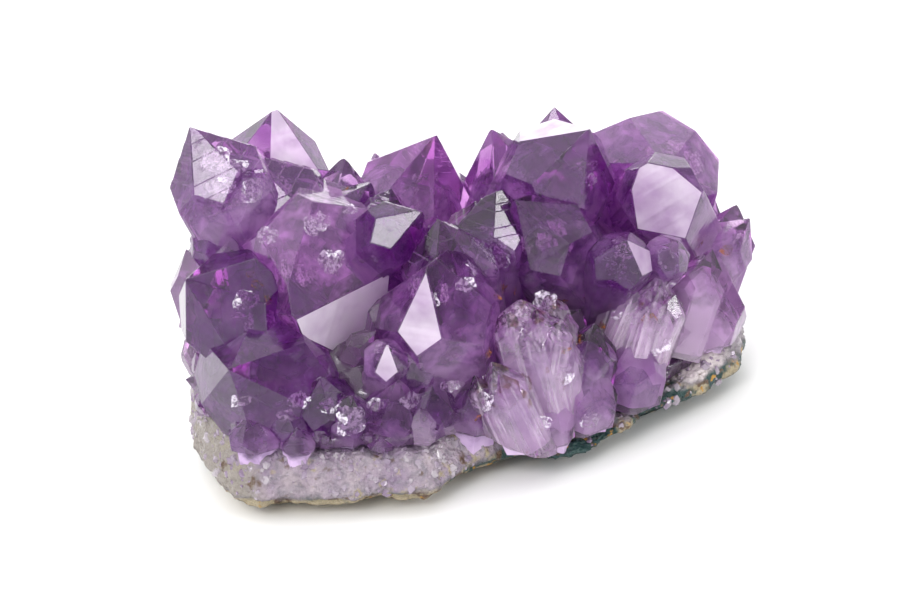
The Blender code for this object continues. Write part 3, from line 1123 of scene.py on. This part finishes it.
@dataclass(frozen=True)
class AmethystQuartz:
    """Natural quartz crystal, violet at the tips and cloudy at the roots.

    Gives the eye glassy faces with fine growth lines across, a violet deepening with depth, and satin faces
    with a painted pale reflection.
    """

    deep: str = "#87399A"
    pale: str = "#F2E5F4"
    milk_white: str = "#D9C5DB"
    satin_reflection_lilac: str = "#A985B4"
    satin_reflection_white: str = "#F3EAF5"
    streak_white: str = "#EBD9EF"
    rust: str = "#8A5A34"
    ior: float = 1.544
    gloss: float = 0.02
    worn: float = 0.22
    absorbed: tuple[float, float, float] = (0.86, 0.10, 0.89)
    density: float = 46.0
    line_spacing: float = 0.8
    zone: float = 7.0
    hillock: float = 2.2

    def material(self) -> bpy.types.Material:
        """Makes the material.

        Returns:
            The material with its nodes.
        """
        made, tree = new_material("amethyst_quartz_natural_faces")
        place = add_node(tree, "Attribute", attribute_name="grown").outputs["Vector"]
        luck, milk, tone, frost_and_reflection, streak = (
            add_node(tree, "Attribute", attribute_name=name).outputs["Fac"]
            for name in ("luck", "milk", "tone", "frost_and_reflection", "streak")
        )
        clouds = add_node(tree, "TexNoise", {"Vector": place, "Scale": 1 / self.zone, "Detail": 4.0})
        drift = add_node(tree, "MapRange", {"Value": clouds, **limits(0.3, 0.7, -0.35, 0.35)})
        depth_of_tone = add_node(tree, "Math", {0: drift, 1: tone}, operation="ADD", use_clamp=True)
        parts = add_node(tree, "SeparateXYZ", {0: place})
        seeded = add_node(tree, "CombineXYZ", {0: luck, 2: parts.outputs[2]})
        lines = add_node(tree, "TexNoise", {"Vector": seeded, "Scale": 1 / self.line_spacing, "Detail": 3.0})
        lined = add_node(tree, "MapRange", {"Value": lines, **limits(0.35, 0.62, 0.78, 0.98)})
        # Satin faces: rougher and less clear, with a lilac to white colour that is partly a painted
        # reflection of the light.
        satin_and_reflection_share = add_node(tree, "Math", {0: frost_and_reflection, 1: lined}, operation="MULTIPLY")
        satin_reflections = {6: linear(self.satin_reflection_lilac), 7: linear(self.satin_reflection_white)}
        satin_reflection_tone = add_node(tree, "Mix", {"Factor": depth_of_tone, **satin_reflections}, data_type="RGBA").outputs[2]
        drawn = add_node(tree, "VectorMath", {0: place, 1: (1.5, 1.5, 0.11)}, operation="MULTIPLY")
        fibres = add_node(tree, "TexNoise", {"Vector": drawn, "Scale": 1.0, "Detail": 5.0})
        fibre = add_node(tree, "MapRange", {"Value": fibres, **limits(0.47, 0.66, 0.0, 0.45)})
        streaky = add_node(tree, "Math", {0: fibre, 1: streak}, operation="MULTIPLY")
        rusts = add_node(tree, "TexNoise", {"Vector": place, "Scale": 0.33, "Detail": 6.0})
        rusted = add_node(tree, "MapRange", {"Value": rusts, **limits(0.60, 0.68, 0.0, 0.8)})
        rusty = add_node(tree, "Math", {0: rusted, 1: streak}, operation="MULTIPLY")
        shade = linear(self.deep)
        for share, colour in (
            (depth_of_tone, linear(self.pale)),
            (milk, linear(self.milk_white)),
            (satin_and_reflection_share, satin_reflection_tone),
            (streaky, linear(self.streak_white)),
            (rusty, linear(self.rust)),
        ):
            shade = add_node(tree, "Mix", {"Factor": share, 6: shade, 7: colour}, data_type="RGBA").outputs[2]
        size = {"Vector": place, "Scale": 1 / self.hillock}
        hillocks = add_node(tree, "TexVoronoi", size, feature="F1", distance="CHEBYCHEV").outputs["Distance"]
        relief = add_node(tree, "Math", {0: hillocks, 1: 0.6, 2: lines}, operation="MULTIPLY_ADD")
        bump = add_node(tree, "Bump", {"Height": relief, "Strength": 0.20, "Distance": 0.14 * MM})
        scuffs = add_node(tree, "TexNoise", {"Vector": place, "Scale": 0.35, "Detail": 7.0})
        rough = add_node(tree, "MapRange", {"Value": scuffs, **limits(0.52, 0.68, self.gloss, self.worn)})
        satin = add_node(tree, "Math", {0: frost_and_reflection, 1: 0.3, 2: rough}, operation="MULTIPLY_ADD")
        cloudy = add_node(tree, "Math", {0: milk, 1: -0.30, 2: 0.98}, operation="MULTIPLY_ADD")
        dimmed = add_node(tree, "Math", {0: satin_and_reflection_share, 1: -0.70, 2: cloudy}, operation="MULTIPLY_ADD")
        left = {0: streaky, 1: -0.50, 2: dimmed}
        clear = add_node(tree, "Math", left, operation="MULTIPLY_ADD", use_clamp=True)
        shader = add_node(
            tree, "BsdfPrincipled",
            {
                "Base Color": shade, "Roughness": satin, "Transmission Weight": clear,
                "IOR": self.ior, "Normal": bump,
            },
        )
        depth = add_node(tree, "VolumeAbsorption", {"Color": (*self.absorbed, 1.0), "Density": self.density})
        add_node(tree, "OutputMaterial", {"Surface": shader, "Volume": depth})
        return made


@dataclass(frozen=True)
class MilkyQuartz:
    """Quartz full of tiny fluid bubbles, as at the roots of crystals.

    Gives the eye soft lavender-white clouds with ragged edges inside the crystals.
    """

    deep: str = "#78419C"
    white: str = "#E4CBEC"
    cloud_size: float = 4.5

    def material(self) -> bpy.types.Material:
        """Makes the material.

        Returns:
            The material with its nodes.
        """
        made, tree = new_material("milky_quartz_clouds")
        place = add_node(tree, "Attribute", attribute_name="grown").outputs["Vector"]
        cloud = add_node(tree, "Attribute", attribute_name="cloud").outputs["Fac"]
        tone = add_node(tree, "Attribute", attribute_name="tone").outputs["Fac"]
        billow = add_node(tree, "TexNoise", {"Vector": place, "Scale": 1 / self.cloud_size, "Detail": 6.0})
        rooted = add_node(tree, "MapRange", {"Value": cloud, **limits(0.8, 3.0, -0.1, 0.35)})
        mass = add_node(tree, "Math", {0: billow, 1: rooted}, operation="ADD")
        cover = add_node(tree, "MapRange", {"Value": mass, **limits(0.40, 0.72, 0.04, 0.95)})
        thin = add_node(tree, "MapRange", {"Value": tone, **limits(0.0, 0.6, 0.4)})
        cover = add_node(tree, "Math", {0: cover, 1: thin}, operation="MULTIPLY")
        toned = add_node(tree, "Math", {0: tone, 1: 0.5, 2: mass}, operation="MULTIPLY_ADD")
        tint = add_node(tree, "MapRange", {"Value": toned, **limits(0.45, 1.25)})
        shades = {6: linear(self.deep), 7: linear(self.white)}
        colour = add_node(tree, "Mix", {"Factor": tint, **shades}, data_type="RGBA").outputs[2]
        shader = add_node(
            tree, "BsdfPrincipled",
            {"Base Color": colour, "Roughness": 0.6, "Alpha": cover, "Specular IOR Level": 0.0},
        )
        add_node(tree, "OutputMaterial", {"Surface": shader})
        return made


@dataclass(frozen=True)
class FlakeFilm:
    """A thin film inside quartz, such as a healed fracture or an iron stain.

    A healed fracture gives the eye white lace that glitters, and iron a rusty smudge. Along the foot the
    white flakes are also painted glints.
    """

    name: str
    colour: str
    edge_colour: str
    lace: float
    most: float
    gloss: float

    def material(self) -> bpy.types.Material:
        """Makes the material.

        Returns:
            The material with its nodes.
        """
        made, tree = new_material(self.name)
        size = millimetres(tree)
        ragged = {"Scale": 1 / self.lace, "Detail": 8.0, "Roughness": 0.7}
        web = add_node(tree, "TexNoise", {"Vector": size, **ragged})
        cover = add_node(tree, "MapRange", {"Value": web, **limits(0.44, 0.56, 0.0, self.most)})
        shades = {6: linear(self.colour), 7: linear(self.edge_colour)}
        colour = add_node(tree, "Mix", {"Factor": web, **shades}, data_type="RGBA").outputs[2]
        looks = {"Base Color": colour, "Roughness": self.gloss, "Alpha": cover}
        shader = add_node(tree, "BsdfPrincipled", looks)
        add_node(tree, "OutputMaterial", {"Surface": shader})
        return made


# White healed fractures, which along the foot of the crystals also stand for painted glints.
HEALED_FRACTURE_AND_GLINT = FlakeFilm("healed_fracture_and_glint_film", "#FBF7FC", "#DCCBE8", 0.8, 0.85, 0.15)
IRON_STAIN = FlakeFilm("iron_oxide_film", "#7A3D16", "#B4702C", 1.1, 0.7, 0.5)


@dataclass(frozen=True)
class SugaryQuartz:
    """Tiny clear quartz crystals that stand close together like coarse sugar.

    Gives the eye a glitter of small bright faces, white with a breath of lavender.
    """

    white: str = "#DDD3DC"
    lavender: str = "#B49DBC"

    def material(self) -> bpy.types.Material:
        """Makes the material.

        Returns:
            The material with its nodes.
        """
        made, tree = new_material("sugary_quartz_druse")
        size = millimetres(tree)
        patches = add_node(tree, "TexNoise", {"Vector": size, "Scale": 1 / 6.0, "Detail": 3.0})
        patch = add_node(tree, "MapRange", {"Value": patches, **limits(0.4, 0.62)})
        shades = {6: linear(self.white), 7: linear(self.lavender)}
        colour = add_node(tree, "Mix", {"Factor": patch, **shades}, data_type="RGBA").outputs[2]
        shader = add_node(
            tree, "BsdfPrincipled",
            {"Base Color": colour, "Roughness": 0.12, "Transmission Weight": 0.5, "IOR": 1.544},
        )
        add_node(tree, "OutputMaterial", {"Surface": shader})
        return made


@dataclass(frozen=True)
class SugaryChalcedony:
    """Sugary quartz and chalcedony over altered basalt, broken from the wall of a geode.

    Gives the eye a sparkling lavender-white band, grey waxy lenses, beige grit and teal stains, and a right
    end made paler by painted light.
    """

    white: str = "#A99BA4"
    # pale: the colour of the painted light laid over the right end
    pale: str = "#DDD2D2"
    lavender: str = "#89758F"
    grey: str = "#7C757F"
    lens: str = "#6B666C"
    rock: str = "#8F887E"
    beige: str = "#A2957A"
    brown: str = "#5C4634"
    teal: str = "#22403E"
    ochre: str = "#AE8236"
    grain: float = 1.0
    rind_top: float = 4.5

    def patch(
        self,
        tree: bpy.types.NodeTree,
        size: bpy.types.NodeSocket,
        scale: float,
        seed: float,
        low: float,
        high: float,
    ) -> bpy.types.Node:
        """Soft-edged patches.

        Args:
            tree: the node tree.
            size: the place in millimetres.
            scale: how big the patches are, in millimetres.
            seed: a number that sets one field of patches apart from another.
            low: value of the field at which a patch begins.
            high: value at which it is full.

        Returns:
            The node whose result is the share of the patch.
        """
        moved = add_node(tree, "VectorMath", {0: size, 1: (seed, seed, seed)}, operation="ADD")
        field = add_node(tree, "TexNoise", {"Vector": moved, "Scale": 1 / scale, "Detail": 6.0})
        return add_node(tree, "MapRange", {"Value": field, **limits(low, high)})

    def layered(
        self, tree: bpy.types.NodeTree, base: str, layers: tuple[tuple[bpy.types.Node, str], ...]
    ) -> bpy.types.NodeSocket:
        """Minerals over one another, as stains and crusts lie on the rock.

        Args:
            tree: the node tree.
            base: colour of the lowest mineral.
            layers: share and colour of each mineral over it, from the lowest up.

        Returns:
            The socket with the colour of them all.
        """
        seen = linear(base)
        for share, shade in layers:
            covered = {"Factor": share, 6: seen, 7: linear(shade)}
            seen = add_node(tree, "Mix", covered, data_type="RGBA").outputs[2]
        return seen

    def material(self) -> bpy.types.Material:
        """Makes the material.

        Returns:
            The material with its nodes.
        """
        made, tree = new_material("sugary_chalcedony_broken")
        size = millimetres(tree)
        parts = add_node(tree, "SeparateXYZ", {0: size})
        along, height = parts.outputs[0], parts.outputs[2]
        wander = add_node(tree, "TexNoise", {"Vector": size, "Scale": 1 / 7.0, "Detail": 6.0})
        rising = add_node(tree, "MapRange", {"Value": along, **limits(-14.0, 2.0, 0.0, 2.2)})
        base = add_node(tree, "Math", {0: rising, 1: self.rind_top - 3.0}, operation="ADD")
        edge = add_node(tree, "Math", {0: wander, 1: 6.0, 2: base}, operation="MULTIPLY_ADD")
        above = add_node(tree, "Math", {0: height, 1: edge}, operation="SUBTRACT")
        rind = add_node(tree, "MapRange", {"Value": above, **limits(-0.4, 0.4, 1.0, 0.0)})
        from_seam = add_node(tree, "Math", {0: above}, operation="ABSOLUTE")
        seam = add_node(tree, "MapRange", {"Value": from_seam, **limits(0.3, 0.9, 0.75, 0.0)})
        bent = add_node(tree, "Math", {0: wander, 1: 14.0, 2: along}, operation="MULTIPLY_ADD")
        left_end = add_node(tree, "MapRange", {"Value": bent, **limits(-45.0, -41.0, 0.85, 0.0)})
        right_end = add_node(tree, "MapRange", {"Value": bent, **limits(50.0, 55.0, 0.0, 0.7)})
        # Painted light: the rock turns paler towards the right end, to make up for the shade that falls
        # there.
        paler_painted_light = add_node(tree, "MapRange", {"Value": bent, **limits(4.0, 26.0, 0.0, 0.75)})
        greener = add_node(tree, "MapRange", {"Value": along, **limits(-22.0, 8.0, -0.07, 0.12)})
        field = add_node(tree, "TexNoise", {"Vector": size, "Scale": 1 / 5.0, "Detail": 6.0})
        greened = add_node(tree, "Math", {0: field, 1: greener}, operation="ADD")
        green = add_node(tree, "MapRange", {"Value": greened, **limits(0.48, 0.55)})
        weathered = self.layered(tree, self.beige, (
            (green, self.teal),
            (self.patch(tree, size, 2.5, 60.0, 0.56, 0.62), self.brown),
            (self.patch(tree, size, 2.0, 80.0, 0.62, 0.66), self.ochre),
        ))
        fresh = self.layered(tree, self.white, (
            (self.patch(tree, size, 8.0, 0.0, 0.40, 0.66), self.lavender),
            (self.patch(tree, size, 2.0, 20.0, 0.42, 0.72), self.grey),
            (self.patch(tree, size, 3.0, 30.0, 0.58, 0.68), self.beige),
            (paler_painted_light, self.pale),
            (left_end, self.rock),
            (right_end, self.grey),
            (self.patch(tree, size, 3.5, 50.0, 0.63, 0.70), self.brown),
            (seam, self.lens),
        ))
        colour = add_node(tree, "Mix", {"Factor": rind, 6: fresh, 7: weathered}, data_type="RGBA").outputs[2]
        grains = add_node(tree, "TexVoronoi", {"Vector": size, "Scale": 1 / self.grain})
        crumbs = add_node(tree, "TexNoise", {"Vector": size, "Scale": 1.6, "Detail": 6.0})
        relief = add_node(tree, "Math", {0: grains.outputs["Distance"], 1: crumbs}, operation="ADD")
        bump = add_node(tree, "Bump", {"Height": relief, "Strength": 1.0, "Distance": 0.5 * MM})
        gloss = add_node(tree, "MapRange", {"Value": crumbs, **limits(0.4, 0.6, 0.15, 0.7)})
        looks = {"Base Color": colour, "Roughness": gloss, "IOR": 1.54, "Normal": bump}
        shader = add_node(tree, "BsdfPrincipled", looks)
        add_node(tree, "OutputMaterial", {"Surface": shader})
        return made


@dataclass(frozen=True)
class PaperFloor:
    """White studio paper, matte, that gives the eye nothing but a soft shadow."""

    white: str = "#F2F2F2"

    def material(self) -> bpy.types.Material:
        """Makes the material.

        Returns:
            The material with its nodes.
        """
        made, tree = new_material("studio_paper_matte")
        fibre = add_node(tree, "TexNoise", {"Scale": 400.0, "Detail": 3.0})
        bump = add_node(tree, "Bump", {"Height": fibre, "Strength": 0.05, "Distance": 0.05 * MM})
        shader = add_node(
            tree, "BsdfPrincipled",
            {"Base Color": linear(self.white), "Roughness": 0.9, "Specular IOR Level": 0.1, "Normal": bump},
        )
        add_node(tree, "OutputMaterial", {"Surface": shader})
        return made


@dataclass
class Studio:
    """Floor, soft lights and the camera at the photograph's angle."""

    slide: Vector
    target: tuple[float, float, float] = (0.0, 0.0, 26.0)
    azimuth: float = -15.0
    elevation: float = 24.0
    roll: float = 6.0
    distance: float = 480.0
    lens: float = 100.0
    floor_size: float = 4.0
    aim: float = 0.03
    bright_side: tuple[float, float, float] = (-0.45, 0.6, 0.66)

    def axes(self) -> tuple[Vector, Vector, Vector]:
        """Turns the camera the way that the photograph was taken.

        Returns:
            Its right, its up and its back, away from the part.
        """
        a, e, r = (math.radians(v) for v in (self.azimuth, self.elevation, self.roll))
        back = Vector((math.sin(a) * math.cos(e), -math.cos(a) * math.cos(e), math.sin(e)))
        right = Vector((math.cos(a), math.sin(a), 0))
        up = back.cross(right)
        return right * math.cos(r) - up * math.sin(r), up * math.cos(r) + right * math.sin(r), back

    def eye(self) -> Vector:
        """Where the camera stands."""
        return Vector(self.target) * MM + self.slide + self.axes()[2] * self.distance * MM

    def ray(self, across: float, down: float) -> Vector:
        """Looks along a pixel of the photograph.

        Args:
            across: pixels from the left.
            down: pixels from the top.

        Returns:
            The direction, a unit vector.
        """
        right, up, back = self.axes()
        wide, high = PHOTO_SIZE
        pixels = wide * self.lens / SENSOR_WIDTH
        return (right * (across - wide / 2) / pixels - up * (down - high / 2) / pixels - back).normalized()

    def camera(self) -> bpy.types.Object:
        """Sets up the camera.

        Returns:
            The camera.
        """
        right, up, back = self.axes()
        data = bpy.data.cameras.new("photo_camera")
        data.lens = self.lens
        data.sensor_width = SENSOR_WIDTH
        data.clip_start = 0.01
        made = bpy.data.objects.new("photo_camera", data)
        bpy.context.scene.collection.objects.link(made)
        made.matrix_world = Matrix.Translation(self.eye()) @ Matrix((right, up, back)).transposed().to_4x4()
        bpy.context.scene.camera = made
        return made

    def floor(self) -> bpy.types.Object:
        """Lays a wide sheet of paper just under the part.

        Returns:
            The floor.
        """
        mesh = bmesh.new()
        bmesh.ops.create_grid(mesh, x_segments=1, y_segments=1, size=self.floor_size / 2)
        made = make_object("studio_floor", mesh, bpy.context.scene.collection)
        made.data.materials.append(PaperFloor().material())
        return made

    def softbox(self, name: str, toward: Vector, away: float, size: float, radiance: float) -> None:
        """A square soft light.

        Args:
            name: the light's name.
            toward: direction from the part to the light.
            away: distance from the part in metres.
            size: side of the square in metres.
            radiance: brightness of its face.
        """
        data = bpy.data.lights.new(name, "AREA")
        data.shape = "SQUARE"
        data.size = size
        data.energy = radiance * math.pi * size * size
        made = bpy.data.objects.new(name, data)
        bpy.context.scene.collection.objects.link(made)
        toward = toward.normalized()
        turned = toward.to_track_quat("Z", "Y").to_matrix().to_4x4()
        made.matrix_world = Matrix.Translation(Vector((0, 0, self.aim)) + toward * away) @ turned

    def build(self) -> None:
        """Sets up everything."""
        self.camera()
        self.floor()
        world = bpy.data.worlds.new("white_room")
        world.use_nodes = True
        tree = world.node_tree
        tree.nodes.clear()
        place = add_node(tree, "TexCoord").outputs["Generated"]
        toward = add_node(tree, "VectorMath", {0: place, 1: self.bright_side}, operation="DOT_PRODUCT")
        glow = add_node(tree, "MapRange", {"Value": toward.outputs["Value"], **limits(-0.7, 0.8, 0.36, 1.80)})
        sky = add_node(tree, "Background", {"Color": (1, 1, 1, 1), "Strength": glow})
        add_node(tree, "OutputWorld", {"Surface": sky})
        bpy.context.scene.world = world
        bpy.context.scene.view_settings.view_transform = "Standard"
        self.softbox("key_left", self.toward(-126, 39), 0.9, 0.30, 9.0)
        self.softbox("edge_right", self.toward(-42, 21), 1.0, 0.30, 10.0)
        self.softbox("back_light", self.toward(75, 22), 1.1, 0.5, 2.2)

    def toward(self, bearing: float, height: float) -> Vector:
        """A direction from its bearing and its height over the horizon, in degrees."""
        return direction(90.0 - height, bearing)


# Places in the photograph, in pixels, with a radius in millimetres
# Healed fractures. The white flakes at the spots along the foot also paint glints of light.
FRACTURE_AND_GLINT_SPOTS = (
    (312, 226, 2.6), (268, 236, 2.4), (482, 400, 3.0), (252, 190, 3.2), (228, 175, 2.2), (330, 262, 3.0),
    (500, 260, 2.4), (470, 268, 2.2), (545, 300, 2.6), (655, 345, 2.8), (672, 282, 1.8), (590, 180, 1.6),
    (245, 300, 2.6), (430, 300, 2.0), (560, 380, 2.6), (625, 320, 2.4), (700, 260, 1.8), (350, 210, 1.6),
    (215, 160, 3.2), (232, 167, 2.6), (222, 186, 2.6), (320, 222, 2.6), (285, 415, 2.0), (350, 428, 2.4),
    (590, 420, 2.2), (540, 425, 2.4), (375, 405, 2.0), (330, 405, 2.2), (465, 285, 2.2), (520, 315, 2.4),
    (410, 400, 2.4), (300, 400, 2.2), (350, 415, 2.4), (240, 400, 2.0), (450, 385, 2.0),
)
STAIN_SPOTS = (
    (257, 285, 1.6), (503, 290, 1.7), (487, 353, 1.5), (562, 300, 1.2), (726, 250, 1.6), (565, 350, 1.1),
    (497, 297, 1.4), (515, 290, 1.2), (585, 300, 1.0), (603, 325, 1.2), (650, 318, 1.4), (578, 340, 1.3),
    (268, 300, 1.3), (250, 275, 1.0), (480, 418, 1.2), (345, 190, 1.2), (700, 245, 1.2),
)


def dress(pieces: dict[str, bpy.types.Object]) -> None:
    """Gives each piece its finish.

    Args:
        pieces: the pieces by name.
    """
    finishes = {
        "amethyst_druse": AmethystQuartz(),
        "milky_roots": MilkyQuartz(),
        "veils_and_glints": HEALED_FRACTURE_AND_GLINT,
        "stains": IRON_STAIN,
        "sugar_druse": SugaryQuartz(),
        "matrix_slab": SugaryChalcedony(),
    }
    for name, piece in pieces.items():
        piece.data.materials.append(finishes[name].material())


def main() -> None:
    """Builds the pieces in order."""
    logging.basicConfig(level=logging.INFO, format="%(message)s")
    plan = SlabPlan()
    tallest = CREST[0]
    node = frame["nodes"]["amethyst_crystals"]
    peak = max((vertex.co for vertex in node.data.vertices), key=lambda point: point.z)
    slide = Vector((peak.x - tallest.tip[0] * MM, peak.y - tallest.tip[1] * MM, 0.0))
    studio = Studio(slide)
    studio.build()
    cluster = CrystalCluster(plan, slide)
    druse = cluster.build()
    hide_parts("amethyst_crystals")
    roots = MilkyRoots(slide).build(cluster)
    veils_and_glints = InnerFlakes("veils_and_glints", FRACTURE_AND_GLINT_SPOTS, 0.7, 150).build(studio, druse, slide)
    stains = InnerFlakes("stains", STAIN_SPOTS, 0.3).build(studio, druse, slide)
    slab = MatrixSlab().build(frame["nodes"]["matrix"])
    sugar = SugarDruse().build(cluster, slab)
    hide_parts("matrix")
    pieces = {piece.name: piece for piece in (druse, roots, veils_and_glints, stains, sugar, slab)}
    for name, piece in pieces.items():
        piece.data.materials.clear()
        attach(piece, "root")
        LOG.info("%s: %d faces", name, len(piece.data.polygons))
    dress(pieces)


if __name__ == "__main__":
    main()
